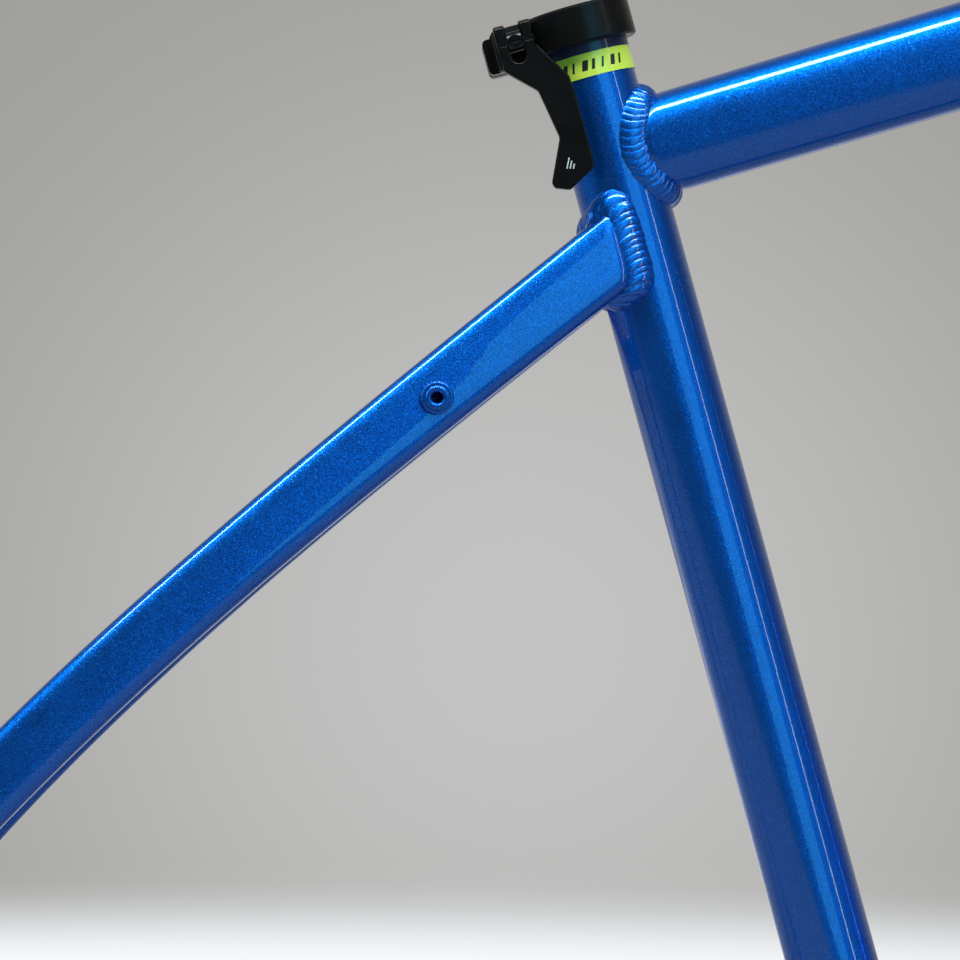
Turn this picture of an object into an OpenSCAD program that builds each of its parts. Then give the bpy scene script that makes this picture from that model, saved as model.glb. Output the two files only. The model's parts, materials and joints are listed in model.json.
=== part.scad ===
// Aluminium mountain bike frame with its quick-release seat clamp.
// Millimetres. Origin at the middle of the bottom bracket shell, +X forward, +Y left, +Z up.

/* [Frame geometry] */
// Bottom bracket centre to the top of the seat tube
seat_tube_length = 500; // [480:5:530]
// Seat tube angle from the ground
seat_angle = 74.7; // [74:0.1:75.5]
// Bottom bracket centre to the rear axle
chainstay_length = 441; // [438:1:446]
// Bottom bracket centre below the axle line
bb_drop = 30; // [25:1:35]
// Height of the top of the head tube above the bottom bracket
stack = 620; // [610:1:630]
// Distance of the top of the head tube in front of the bottom bracket
reach = 425; // [415:1:435]
// Head tube angle from the ground
head_angle = 69; // [68:0.5:70]
// Length of the head tube
head_tube_length = 130; // [128:1:135]
// Distance between the faces of the rear dropouts
hub_width = 135; // [135:1:142]

/* [Tubes] */
// Outer diameter of the seat tube
seat_tube_d = 34.9; // [34.9:0.1:35.2]
// Diameter of the seatpost that the seat tube takes
seatpost_d = 30.9; // [30.4:0.1:30.9]
// Outer diameter of the head tube
head_tube_d = 50; // [49:0.5:52]
// Diameter of the headset cup seats
headset_seat_d = 44; // [43.95:0.05:44.05]
// Outer diameter of the bottom bracket shell
bb_shell_d = 41.5; // [40:0.5:43]
// Width of the bottom bracket shell
bb_shell_width = 73; // [73:1:74]
// Bore inside the bottom bracket thread
bb_bore_d = 33.8; // [33.6:0.1:34]
// Wall of the formed tubes
tube_wall = 1.7; // [1.4:0.1:2.2]
// Width of the top tube at the seat tube
top_tube_rear_width = 31; // [30:0.5:32]
// Height of the top tube at the seat tube
top_tube_rear_height = 38.7; // [37.5:0.1:39.5]
// Width of the top tube at the head tube
top_tube_front_width = 38; // [37:0.5:40]
// Height of the top tube at the head tube
top_tube_front_height = 46; // [44:0.5:46.5]
// Slope of the top tube
top_tube_slope = 16.4; // [16:0.1:16.8]
// Height of the top tube joint along the seat tube
top_tube_at = 442.7; // [440:0.5:446]
// Width of the down tube at the bottom bracket
down_tube_rear_width = 52; // [48:0.5:54]
// Height of the down tube at the bottom bracket
down_tube_rear_height = 38; // [36:0.5:39]
// Width of the down tube at the head tube
down_tube_front_width = 44; // [42:0.5:45]
// Height of the down tube at the head tube
down_tube_front_height = 50; // [47:0.5:50]
// Height of a seatstay at the seat tube
seatstay_top_height = 28.5; // [27.5:0.1:29]
// Height of a seatstay along its length
seatstay_height = 26.4; // [26:0.1:27.5]
// Width of a seatstay at the seat tube
seatstay_top_width = 14; // [13:0.5:15]
// Width of a seatstay along its length
seatstay_width = 16.5; // [16:0.1:17]
// Height of a chainstay at the bottom bracket
chainstay_front_height = 34; // [32:0.5:35]
// Width of a chainstay at the bottom bracket
chainstay_front_width = 19; // [18:0.5:20]
// Height of a chainstay at the dropout
chainstay_rear_height = 22; // [22:0.5:24]
// Width of a chainstay at the dropout
chainstay_rear_width = 16; // [15.5:0.1:16.5]

/* [Seat clamp] */
// Height of the clamp collar
collar_height = 15; // [14:0.5:16]
// Wall of the clamp collar
collar_wall = 4.3; // [4:0.1:4.6]
// Distance of the clamp rod behind the seat tube axis
rod_back = 25.2; // [25:0.1:26]
// Length of the lever from its pivot
lever_reach = 60; // [56:1:62]
// Thickness of the lever blade
lever_thickness = 6; // [5:0.5:6.5]

/* [Hidden] */

$fn = 96;
ring_points = 28; // points round a formed tube
gap = 0.05; // running clearance
frame_blue = "#0a5fc4";
clamp_black = "#1c1c1e";
steel = "#b9bcc0";
black_steel = "#2b2c2f";

// Axes of the round tubes
seat_up = [-cos(seat_angle), 0, sin(seat_angle)];
head_up = [-cos(head_angle), 0, sin(head_angle)];
head_top = [reach, 0, stack];
head_bottom = head_top - head_tube_length * head_up;
rear_axle = [-sqrt(chainstay_length * chainstay_length - bb_drop * bb_drop), 0, bb_drop];
seat_r = seat_tube_d / 2;
post_r = seatpost_d / 2;
reamed_depth = 250;
head_r = head_tube_d / 2;
shell_r = bb_shell_d / 2;
far = 200; // overshoot of cutting tools

// Sections of the formed tubes: width across the bicycle, then height
top_tube_rear = [top_tube_rear_width, top_tube_rear_height];
top_tube_front = [top_tube_front_width, top_tube_front_height];
down_tube_rear = [down_tube_rear_width, down_tube_rear_height];
down_tube_front = [down_tube_front_width, down_tube_front_height];
seatstay_top = [seatstay_top_width, seatstay_top_height];
seatstay_size = [seatstay_width, seatstay_height];
chainstay_front = [chainstay_front_width, chainstay_front_height];
chainstay_rear = [chainstay_rear_width, chainstay_rear_height];

// Straight formed tubes: where their centre lines start and end
top_tube_dir = [cos(top_tube_slope), 0, sin(top_tube_slope)];
top_tube_foot = top_tube_at * seat_up;
down_tube_head = head_bottom + 52 * head_up;
down_tube_dir = unit(down_tube_head);
top_tube_length = 572;
down_tube_length = norm(down_tube_head);

// Right-hand stays are curves of four control points, and the left ones are their mirror image
seatstay_curve = [[-108, -14.5, 397], [-211, -41, 314], [-343, -68, 212.5], [-415, -70, 112]];
chainstay_curve = [[-12, -22, 1], [-110, -51, 6], [-250, -66, 14], [-404, -70, 26]];
stay_steps = 14;
seatstay_full_at = 0.45; // share of its length after which a seatstay keeps one size
dropout_thickness = 7;
dropout_y = hub_width / 2 + dropout_thickness / 2;

// Positions of the small parts
rack_boss_at = [-184, -39, 334];
rack_boss_r = 5;
rack_flange_r = 6.35;
rack_flange_from = 2;
m5_tap_r = 2.1;
m10_tap_r = 4.55;
bottle_boss_at = [205, 269]; // distances along the down tube
bottle_boss_r = 4;
collar_low = seat_tube_length - 13;
rod_height = seat_tube_length - 6.2;
lever_plane = 26; // distance of the lever pivot from the middle plane
cam_r = 7.3;
rod_r = 2.5;
barrel_r = 4;
fork_half = 7; // half the width of the lever's head
fork_slot = 2.8; // half the width of the slot in it
cam_offset = 0.2; // how far the cam's centre is from the pivot, towards the plate
cam_face = lever_plane - cam_r - cam_offset - 0.3;
ear_inner = 2; // half of the gap between the ears
ear_outer = 9.5;
ear_back = 12;
ear_low = -8.6;
ear_high = 5.2;
shoe_outer = 14;
shoe_front = 7;
shoe_high = 6.5;
nut_r = 7.6;
washer_thickness = 1.5;
band_height = 12.8;
band_thickness = 0.2;
weld_leg = 5.5;
weld_sink = 0.8; // how far a weld bead goes into the walls it joins

// ---- vectors ----
function unit(v) = v / norm(v);
function flat(v, axis) = v - (v * axis) * axis;
function bezier(c, t) =
    pow(1 - t, 3) * c[0] + 3 * t * pow(1 - t, 2) * c[1] + 3 * t * t * (1 - t) * c[2] + t * t * t * c[3];
function mix(a, b, t) = a * (1 - t) + b * t;

// ---- sections and sweeps ----
// Rounded outline [across, up]; squareness 2 is an ellipse and larger is squarer
function section(size, squareness) = [
    for (i = [0 : ring_points - 1])
        let (a = 360 * i / ring_points, c = cos(a), s = sin(a))
        [size[0] / 2 * sign(c) * pow(abs(c), 2 / squareness),
         size[1] / 2 * sign(s) * pow(abs(s), 2 / squareness)]
];
// Directions across and up of a tube that runs along d
function across(d) = unit(flat([0, 1, 0], d));
function up_side(d) = cross(d, across(d));
function place(p, d, outline) = [for (q = outline) p + q[0] * across(d) + q[1] * up_side(d)];
function direction(path, i) = unit(path[min(i + 1, len(path) - 1)] - path[max(i - 1, 0)]);

// Solid between rings of equal length, closed at both ends
module skin(rings) {
    n = len(rings[0]);
    last = len(rings) - 1;
    side = [for (i = [0 : last - 1], j = [0 : n - 1])
        let (k = (j + 1) % n, a = i * n + j, b = i * n + k, c = a + n, d = b + n)
        each [[a, d, b], [a, c, d]]];
    ends = [[for (j = [0 : n - 1]) j], [for (j = [n - 1 : -1 : 0]) last * n + j]];
    polyhedron([for (r = rings) each r], concat(side, ends), convexity = 6);
}

// Closed ring of sections, each counter-clockwise when seen looking along the loop
module loop(rings) {
    n = len(rings[0]);
    m = len(rings);
    polyhedron([for (r = rings) each r], [for (i = [0 : m - 1], j = [0 : n - 1])
        let (k = (j + 1) % n, next = (i + 1) % m * n, a = i * n + j, b = i * n + k, c = next + j, d = next + k)
        each [[a, b, d], [a, d, c]]], convexity = 10);
}

// Hollow formed tube along a path, with a size at each point
module formed_tube(path, sizes, squareness) {
    shrink = [2 * tube_wall, 2 * tube_wall];
    steps = [0 : len(path) - 1];
    outer = [for (i = steps) place(path[i], direction(path, i), section(sizes[i], squareness))];
    inner = [for (i = steps) place(path[i], direction(path, i), section(sizes[i] - shrink, squareness))];
    n = ring_points;
    m = n * len(path);
    far_end = m - n;
    sides = [for (i = [0 : len(path) - 2], j = [0 : n - 1])
        let (k = (j + 1) % n, a = i * n + j, b = i * n + k, c = a + n, d = b + n)
        each [[a, d, b], [a, c, d], [m + a, m + b, m + d], [m + a, m + d, m + c]]];
    ends = [for (j = [0 : n - 1])
        let (k = (j + 1) % n, a = far_end + j, b = far_end + k)
        each [[j, k, m + k], [j, m + k, m + j], [a, m + b, b], [a, m + a, m + b]]];
    polyhedron([for (r = concat(outer, inner)) each r], concat(sides, ends), convexity = 8);
}

// ---- placement ----
module on_seat_tube() { rotate([0, seat_angle - 90, 0]) children(); }
module on_head_tube() { translate(head_bottom) rotate([0, head_angle - 90, 0]) children(); }
module along_y(p, r, length) { translate(p) rotate([90, 0, 0]) cylinder(r = r, h = length, center = true); }
module mirrored() { mirror([0, 1, 0]) children(); }
module seat_tube_solid(r) { on_seat_tube() cylinder(r = r, h = seat_tube_length + far); }

// ---- weld beads ----
// Distance along d from p to the outside of a cylinder through o along axis u
function reach_out(p, d, o, u, r) =
    let (w = flat(p - o, u), e = flat(d, u), a = e * e, b = w * e, c = w * w - r * r, q = b * b - a * c)
    (-b + sqrt(max(q, 0))) / a;

// Fillet between a tube that leaves along d and the round tube (o, u, r) that it stands on
module weld_bead(p, d, outline, o, u, r, leg = weld_leg) {
    foot = [for (q = place(p, d, outline)) q + reach_out(q, d, o, u, r) * d];
    n = len(foot);
    loop([for (i = [0 : n - 1])
        let (
            k = foot[i],
            along = unit(foot[(i + 1) % n] - foot[(i + n - 1) % n]),
            rise = unit(flat(k - o, u)),
            spread = unit(cross(along, rise)),
            climb = unit(flat(d, along)),
            outward = unit(cross(along, d))
        )
        [k - weld_sink * (rise + outward),
         k + leg * spread - weld_sink * rise,
         k + leg * (0.92 * spread + 0.25 * climb),
         k + leg * (0.62 * spread + 0.62 * climb),
         k + leg * (0.25 * spread + 0.92 * climb),
         k + leg * climb - weld_sink * outward]
    ]);
}

// ---- main tubes ----
module head_tube() {
    seat_depth = 14;
    ring = 1.5;
    ring_height = 5.5;
    edge = 1;
    h = head_tube_length;
    seat = headset_seat_d / 2;
    inner = seat - 0.6;
    color(frame_blue) on_head_tube() rotate_extrude() polygon([
        [seat, 0], [head_r + ring - edge, 0], [head_r + ring, edge], [head_r + ring, ring_height],
        [head_r, ring_height + ring], [head_r, h - ring_height - ring], [head_r + ring, h - ring_height],
        [head_r + ring, h - edge], [head_r + ring - edge, h], [seat, h], [seat, h - seat_depth],
        [inner, h - seat_depth], [inner, seat_depth], [seat, seat_depth]
    ]);
}

module top_tube() {
    color(frame_blue) difference() {
        formed_tube([top_tube_foot, top_tube_foot + top_tube_length * top_tube_dir],
            [top_tube_rear, top_tube_front], 2.3);
        seat_tube_solid(seat_r);
        on_head_tube() translate([0, 0, -far]) cylinder(r = head_r, h = 3 * far);
    }
}

module down_tube() {
    color(frame_blue) difference() {
        formed_tube([[0, 0, 0], down_tube_head], [down_tube_rear, down_tube_front], 2.2);
        seat_tube_solid(seat_r);
        along_y([0, 0, 0], shell_r, far);
        on_head_tube() translate([0, 0, -far]) cylinder(r = head_r, h = 3 * far);
        for (s = bottle_boss_at) bottle_boss_place(s) cylinder(r = bottle_boss_r, h = 20, center = true);
    }
}

// Reamed for the seatpost in its upper part, a little wider below, with the clamp's slot at the rear
module seat_tube() {
    slot_width = 3;
    slot_depth = 38;
    relief = 0.4;
    color(frame_blue) difference() {
        on_seat_tube() difference() {
            cylinder(r = seat_r, h = seat_tube_length);
            translate([0, 0, -1]) cylinder(r = post_r, h = seat_tube_length + 2);
            translate([0, 0, -1]) cylinder(r = post_r + relief, h = seat_tube_length - reamed_depth + 1);
            translate([-seat_r - 1, -slot_width / 2, seat_tube_length - slot_depth])
                cube([seat_r, slot_width, slot_depth + 1]);
            translate([-seat_r - 1, 0, seat_tube_length - slot_depth])
                rotate([0, 90, 0]) cylinder(r = 2.5, h = seat_r);
        }
        along_y([0, 0, 0], shell_r, far);
    }
}

module bb_shell() {
    half = bb_shell_width / 2;
    chamfer = 1;
    bore = bb_bore_d / 2;
    color(frame_blue) rotate([90, 0, 0]) rotate_extrude() polygon([
        [bore, -half + chamfer], [bore + chamfer, -half],
        [shell_r - chamfer, -half], [shell_r, -half + chamfer],
        [shell_r, half - chamfer], [shell_r - chamfer, half], [bore + chamfer, half], [bore, half - chamfer]
    ]);
}

// ---- stays ----
function stay_points(curve) = [for (i = [0 : stay_steps]) bezier(curve, i / stay_steps)];
seatstay_sizes = [
    for (i = [0 : stay_steps]) mix(seatstay_top, seatstay_size, min(1, i / stay_steps / seatstay_full_at))
];
chainstay_sizes = [for (i = [0 : stay_steps]) mix(chainstay_front, chainstay_rear, i / stay_steps)];

module seatstay_right() {
    color(frame_blue) difference() {
        formed_tube(stay_points(seatstay_curve), seatstay_sizes, 3.4);
        seat_tube_solid(seat_r);
        along_y(rack_boss_at - [0, 4, 0], rack_boss_r, 22);
        along_y(rack_boss_at - [0, rack_flange_from + 10, 0], rack_flange_r, 20);
    }
}
module seatstay_left() { mirrored() seatstay_right(); }

module chainstay_right() {
    color(frame_blue) difference() {
        formed_tube(stay_points(chainstay_curve), chainstay_sizes, 2.8);
        seat_tube_solid(seat_r);
        along_y([0, 0, 0], shell_r, far);
    }
}
module chainstay_left() { mirrored() chainstay_right(); }

// Small tubes across the wheel gap, whose ends are sunk into the stay walls
module seatstay_bridge() {
    at = [-190, 0, 331];
    r = 7;
    color(frame_blue) along_y(at, r, 54);
}
module chainstay_bridge() {
    at = [-65, 0, 4];
    r = 8;
    color(frame_blue) along_y(at, r, 54.5);
}

// Rounded end of a stay, slotted for the dropout plate
module stay_end_cap(curve, size, squareness) {
    tip = curve[3];
    d = direction(stay_points(curve), stay_steps);
    color(frame_blue) difference() {
        skin([for (a = [0 : 15 : 75]) place(tip + 7 * sin(a) * d, d, section(size * cos(a), squareness))]);
        translate([tip[0], -dropout_y, tip[2]]) cube([80, dropout_thickness, 80], center = true);
    }
}
module stay_end_caps_right() {
    stay_end_cap(seatstay_curve, seatstay_size, 3.4);
    stay_end_cap(chainstay_curve, chainstay_rear, 2.8);
}
module stay_end_caps_left() { mirrored() stay_end_caps_right(); }

// ---- dropouts ----
// Flat bar with round ends between two points
module bar(p, rp, q, rq, thickness) {
    d = q - p;
    a = atan2(d[1], d[0]);
    lean = acos((rp - rq) / norm(d));
    inset = 0.02; // keeps the straight sides from only just touching the round ends
    translate(p) cylinder(r = rp, h = thickness);
    translate(q) cylinder(r = rq, h = thickness);
    linear_extrude(thickness) polygon([for (e = [[p, rp, 1], [q, rq, 1], [q, rq, -1], [p, rp, -1]])
        e[0] + (e[1] - inset) * [cos(a + e[2] * lean), sin(a + e[2] * lean)]]);
}
module drill(p, r) { translate(p) cylinder(r = r, h = 40, center = true); }
// Stands a plate drawn on the ground up in the bicycle's plane, with its middle at a distance to the left
module upright(y, thickness) { translate([0, y + thickness / 2, 0]) rotate([90, 0, 0]) children(); }

axle2d = [rear_axle[0], rear_axle[2]];
seatstay_tip2d = [seatstay_curve[3][0], seatstay_curve[3][2]];
chainstay_tip2d = [chainstay_curve[3][0], chainstay_curve[3][2]];
eyelet2d = axle2d + [-13, 20];
axle_slot_width = 10.2;

module axle_slot() {
    drill(axle2d, axle_slot_width / 2);
    translate([axle2d[0] - axle_slot_width / 2, axle2d[1] - 30, -20]) cube([axle_slot_width, 30, 40]);
}

module dropout_plate() {
    t = dropout_thickness;
    difference() {
        union() {
            bar(axle2d, 14, seatstay_tip2d + [-2, 5], 6.5, t);
            bar(axle2d, 14, chainstay_tip2d + [12, -1], 5.5, t);
            bar(seatstay_tip2d + [2, -14], 5, chainstay_tip2d + [-4, 2], 5, t);
            bar(axle2d, 12, eyelet2d, 6, t);
        }
        axle_slot();
        drill(eyelet2d, m5_tap_r);
    }
}
module dropout_right() {
    color(frame_blue) upright(-dropout_y, dropout_thickness) difference() {
        dropout_plate();
        for (p = hanger_bolt2d) drill(p, hanger_bolt_r);
    }
}
module dropout_left() {
    color(frame_blue) upright(dropout_y, dropout_thickness) dropout_plate();
}

hanger_bolt2d = [axle2d + [13, 4], axle2d + [-11, 8]];
hanger_bolt_r = 2;
hanger_thread2d = axle2d + [-13, -28];
hanger_thickness = 5;
hanger_y = hub_width / 2 + dropout_thickness + hanger_thickness / 2;

// Replaceable plate with the rear derailleur's thread
module derailleur_hanger() {
    t = hanger_thickness;
    color("#2a2b2e") upright(-hanger_y, t) difference() {
        union() {
            bar(hanger_bolt2d[0], 5, hanger_bolt2d[1], 4.9, t);
            translate(axle2d) cylinder(r = 12, h = t);
            bar(axle2d + [-10, -2], 4.5, hanger_thread2d, 7.5, t);
        }
        axle_slot();
        drill(hanger_thread2d, m10_tap_r);
        for (p = hanger_bolt2d) drill(p, hanger_bolt_r);
    }
}

module hanger_bolts() {
    head_h = 2;
    head_r = 3.5;
    socket_d = 2.5;
    inner_y = -hub_width / 2;
    outer_y = -hanger_y - hanger_thickness / 2;
    color(steel) for (p = hanger_bolt2d) translate([p[0], 0, p[1]]) {
        along_y([0, (inner_y + outer_y) / 2, 0], hanger_bolt_r, inner_y - outer_y);
        difference() {
            along_y([0, outer_y - head_h / 2, 0], head_r, head_h);
            translate([0, outer_y - head_h, 0]) rotate([90, 0, 0])
                cylinder(d = socket_d, h = 1.2 * head_h, center = true, $fn = 6);
        }
    }
}

// Disc brake tab with two holes, on the inner face of the left dropout
tab_spacing = 51;
tab_hole2d = [axle2d + [-36, 44], axle2d + [-36, 44] + tab_spacing * [sin(9), cos(9)]];
tab_thickness = 6;
tab_hole_r = 3.1;
module disc_brake_tab() {
    t = tab_thickness;
    color(frame_blue) upright(hub_width / 2 - t / 2, t) difference() {
        union() {
            bar(tab_hole2d[0], 9, tab_hole2d[1], 8.9, t);
            bar(tab_hole2d[0], 9, axle2d + [-4, 22], 5, t);
            bar(tab_hole2d[1], 8.9, seatstay_tip2d + [0, 12], 5, t);
        }
        for (p = tab_hole2d) drill(p, tab_hole_r);
    }
}

// ---- bosses and cable guides ----
module rack_boss_right() {
    outer = 5.6;
    color(frame_blue) translate(rack_boss_at) rotate([90, 0, 0]) rotate_extrude() polygon([
        [m5_tap_r, -5], [rack_boss_r, -5], [rack_boss_r, rack_flange_from],
        [rack_flange_r, rack_flange_from], [rack_flange_r, outer - 1.3],
        [rack_flange_r - 0.7, outer - 0.6], [4.4, outer - 0.6], [3.9, outer], [2.9, outer],
        [m5_tap_r, outer - 0.8]
    ]);
}
module rack_boss_left() { mirrored() rack_boss_right(); }

// Upper wall of the down tube at a distance from the bottom bracket
module bottle_boss_place(s) {
    slope = atan2(down_tube_dir[2], down_tube_dir[0]);
    half = mix(down_tube_rear, down_tube_front, s / down_tube_length)[1] / 2;
    translate(s * down_tube_dir) rotate([0, -slope, 0]) translate([0, 0, half]) children();
}
module bottle_bosses() {
    depth = 12;
    flange_r = 6;
    low = 0.2;
    top = 1.6;
    color(steel) for (s = bottle_boss_at) bottle_boss_place(s) rotate_extrude() polygon([
        [m5_tap_r, -depth], [bottle_boss_r, -depth], [bottle_boss_r, low], [flange_r, low],
        [flange_r, top - 0.4], [flange_r - 0.4, top], [m5_tap_r, top]
    ]);
}
// Three open guides under the down tube, each with three channels
module cable_guides() {
    slope = atan2(down_tube_dir[2], down_tube_dir[0]);
    size = [16, 24, 5.6];
    sunk = 0.6;
    channel_d = 5;
    color(frame_blue) for (s = [150, 330, 510])
        let (half = mix(down_tube_rear, down_tube_front, s / down_tube_length)[1] / 2)
        translate(s * down_tube_dir) rotate([0, -slope, 0]) translate([0, 0, -half]) difference() {
            translate([-size[0] / 2, -size[1] / 2, sunk - size[2]]) cube(size);
            for (y = [-7.5, 0, 7.5]) translate([0, y, -4]) rotate([0, 90, 0])
                cylinder(d = channel_d, h = 40, center = true);
        }
}

// ---- weld metal ----
module weld_top_tube_rear() {
    color(frame_blue) weld_bead(top_tube_foot, top_tube_dir, section(top_tube_rear, 2.3),
        [0, 0, 0], seat_up, seat_r);
}

module weld_top_tube_front() {
    color(frame_blue) weld_bead(top_tube_foot + top_tube_length * top_tube_dir, -top_tube_dir,
        section(top_tube_front, 2.3), head_top, head_up, head_r);
}
module weld_down_tube_front() {
    color(frame_blue) weld_bead(down_tube_head, -down_tube_dir, section(down_tube_front, 2.2),
        head_top, head_up, head_r);
}
module weld_down_tube_rear() {
    color(frame_blue) difference() {
        weld_bead([0, 0, 0], down_tube_dir, section(down_tube_rear, 2.2), [0, 0, 0], [0, 1, 0], shell_r);
        seat_tube_solid(seat_r);
    }
}
module weld_seat_tube_foot() {
    color(frame_blue) weld_bead([0, 0, 0], seat_up, section([seat_tube_d, seat_tube_d], 2),
        [0, 0, 0], [0, 1, 0], shell_r, 4.5);
}
module weld_seatstay_right() {
    color(frame_blue) weld_bead(seatstay_curve[0], unit(seatstay_curve[1] - seatstay_curve[0]),
        section(seatstay_top, 3.4), [0, 0, 0], seat_up, seat_r);
}
module weld_seatstay_left() { mirrored() weld_seatstay_right(); }
module weld_chainstay_right() {
    color(frame_blue) difference() {
        weld_bead(chainstay_curve[0], unit(chainstay_curve[1] - chainstay_curve[0]),
            section(chainstay_front, 2.8), [0, 0, 0], [0, 1, 0], shell_r, 4);
        seat_tube_solid(seat_r);
    }
}
module weld_chainstay_left() { mirrored() weld_chainstay_right(); }

// ---- seat tube trim ----
// Thin printed band round the seat tube, below the clamp
module seat_tube_band() {
    color("#c7e84a") on_seat_tube() translate([0, 0, collar_low - band_height]) difference() {
        cylinder(r = seat_r + band_thickness, h = band_height);
        translate([0, 0, -1]) cylinder(r = seat_r, h = band_height + 2);
    }
}

// Guides for a cable or hose on each chainstay
module chainstay_cable_stops() {
    color(frame_blue) for (side = [-1, 1]) translate([-150, side * 49.7, 25.5]) difference() {
        translate([-9, -3.5, -3]) cube([18, 7, 8]);
        translate([0, 0, 1.2]) rotate([0, 90, 0]) cylinder(d = 4.6, h = 40, center = true);
    }
}

// ---- seat clamp ----
// Moves children to the clamp rod: X forward, Z up the seat tube
module at_rod() { on_seat_tube() translate([-rod_back, 0, rod_height]) children(); }

// Rounded block with its back behind the rod, between two distances to the left
module rod_block(y0, y1, back, front, low, high) {
    corner = 2;
    translate([0, y1, 0]) rotate([90, 0, 0]) linear_extrude(y1 - y0) {
        translate([-back + corner, low]) square([front + back - corner, high - low]);
        translate([-back, low + corner]) square([corner, high - low - 2 * corner]);
        for (z = [low + corner, high - corner]) translate([-back + corner, z]) circle(r = corner);
    }
}
module rod_hole() { along_y([0, 0, 0], rod_r + 0.3, 80); }

// Split ring with a lip over the tube's end and two ears behind
module clamp_collar() {
    tube_end = seat_tube_length - collar_low + gap;
    inner = seat_r + gap;
    outer = inner + collar_wall;
    edge = 0.8;
    color(clamp_black) difference() {
        union() {
            on_seat_tube() translate([0, 0, collar_low]) rotate_extrude() polygon([
                [inner, 0], [outer - edge, 0], [outer, edge], [outer, collar_height - edge],
                [outer - edge, collar_height], [post_r + 0.4, collar_height], [post_r + 0.4, tube_end],
                [inner, tube_end]
            ]);
            difference() {
                at_rod() rod_block(-ear_outer, ear_outer, ear_back, rod_back - inner + 1, ear_low, ear_high);
                seat_tube_solid(inner);
                on_seat_tube() cylinder(r = seat_r + band_thickness + gap, h = collar_low);
            }
        }
        at_rod() {
            translate([-30, -ear_inner, -20]) cube([30 + rod_back, 2 * ear_inner, 40]);
            rod_hole();
            rod_block(-40, -ear_outer, 30, shoe_front + 0.3, ear_low - 2, shoe_high + 0.3);
            along_y([0, ear_outer + 20, 0], nut_r + 0.4, 40);
        }
    }
}

// Shaped washer between the ear and the cam plate
module clamp_shoe() {
    color(clamp_black) at_rod() difference() {
        rod_block(-shoe_outer, -ear_outer, 8.8, shoe_front, -8.7, shoe_high);
        rod_hole();
    }
}

// Bearing plate that the cam presses on, with a shallow hollow for it
module cam_plate() {
    color("#2b2b2d") at_rod() difference() {
        rod_block(-cam_face, -shoe_outer, 8.1, 7.4, -8.7, 7);
        rod_hole();
    }
}

// Lever with a forked cam head; it hangs down the tube when closed
module qr_lever() {
    front = lever_plane + 4;
    tip = lever_reach;
    color(clamp_black) at_rod() difference() {
        union() {
            intersection() {
                translate([-fork_half, -lever_plane + cam_offset, 0]) rotate([0, 90, 0])
                    cylinder(r = cam_r, h = 2 * fork_half + 0.4);
                translate([-20, -front, -20]) cube([40, 30, 40]);
            }
            translate([0, lever_thickness - front, 0]) rotate([90, 0, 0]) linear_extrude(lever_thickness)
                polygon([
                    [-fork_half, 2], [-fork_half, -10.3], [3.5, -20.6], [6.7, -39.8], [-0.7, 4.4 - tip],
                    [-0.1, 2.1 - tip], [5.4, -tip], [16.3, 5.8 - tip], [17, 8.6 - tip], [17, -24.3],
                    [16.3, -18], [fork_half + 0.4, -3], [fork_half + 0.4, 2]
                ]);
        }
        translate([0, -lever_plane, 0]) rotate([0, 90, 0])
            cylinder(r = barrel_r + gap, h = 60, center = true);
        along_y([0, -lever_plane, fork_slot - 8.5], fork_slot, 40);
        translate([-fork_slot, -lever_plane - 20, fork_slot - 8.5]) cube([2 * fork_slot, 40, 30]);
    }
}

// Cross pin of the lever, tapped for the rod
module pivot_barrel() {
    color(black_steel) at_rod() difference() {
        translate([-fork_half, -lever_plane, 0]) rotate([0, 90, 0])
            cylinder(r = barrel_r, h = 2 * fork_half + 0.4);
        along_y([0, -lever_plane, 0], rod_r, 40);
    }
}

// Threaded rod through the ears, with a screwdriver slot in its end
module clamp_rod() {
    start = lever_plane + barrel_r - 0.6;
    end = 24;
    color(black_steel) at_rod() difference() {
        along_y([0, (end - start) / 2, 0], rod_r, end + start);
        translate([-5, -start - 1, -0.4]) cube([10, 1.8, 0.8]);
    }
}

module nut_washer() {
    color(clamp_black) at_rod() difference() {
        along_y([0, ear_outer + 0.1 + washer_thickness / 2, 0], 6.5, washer_thickness);
        along_y([0, 0, 0], rod_r + gap, 80);
    }
}

// Round nut with grip flutes
module adjusting_nut() {
    inner_y = ear_outer + washer_thickness + 0.2;
    height = 8;
    flutes = 12;
    color(clamp_black) at_rod() translate([0, inner_y + height, 0]) rotate([90, 0, 0]) difference() {
        union() {
            cylinder(r = nut_r, h = height - 1);
            translate([0, 0, height - 1]) cylinder(r = nut_r - 1.2, h = 1);
        }
        for (i = [0 : flutes - 1]) rotate(i * 360 / flutes) translate([nut_r + 0.6, 0, -1])
            cylinder(r = 1.2, h = height - 1.5, $fn = 32);
        translate([0, 0, -1]) cylinder(r = rod_r + gap, h = height + 2);
    }
}

head_tube();
top_tube();
down_tube();
seat_tube();
bb_shell();
chainstay_right();
chainstay_left();
seatstay_right();
seatstay_left();
dropout_right();
dropout_left();
derailleur_hanger();
hanger_bolts();
disc_brake_tab();
chainstay_bridge();
seatstay_bridge();
rack_boss_right();
rack_boss_left();
bottle_bosses();
cable_guides();
chainstay_cable_stops();
seat_tube_band();
weld_top_tube_rear();
weld_top_tube_front();
weld_down_tube_front();
weld_down_tube_rear();
weld_seat_tube_foot();
weld_seatstay_right();
weld_seatstay_left();
weld_chainstay_right();
weld_chainstay_left();
stay_end_caps_right();
stay_end_caps_left();
clamp_collar();
clamp_shoe();
cam_plate();
qr_lever();
pivot_barrel();
clamp_rod();
nut_washer();
adjusting_nut();
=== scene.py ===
"""Looks of the bicycle frame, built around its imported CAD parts. Metres, in the frame's own axes."""
import json
import math

import bmesh
import bpy
import numpy as np
from mathutils import Matrix, Vector


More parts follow.
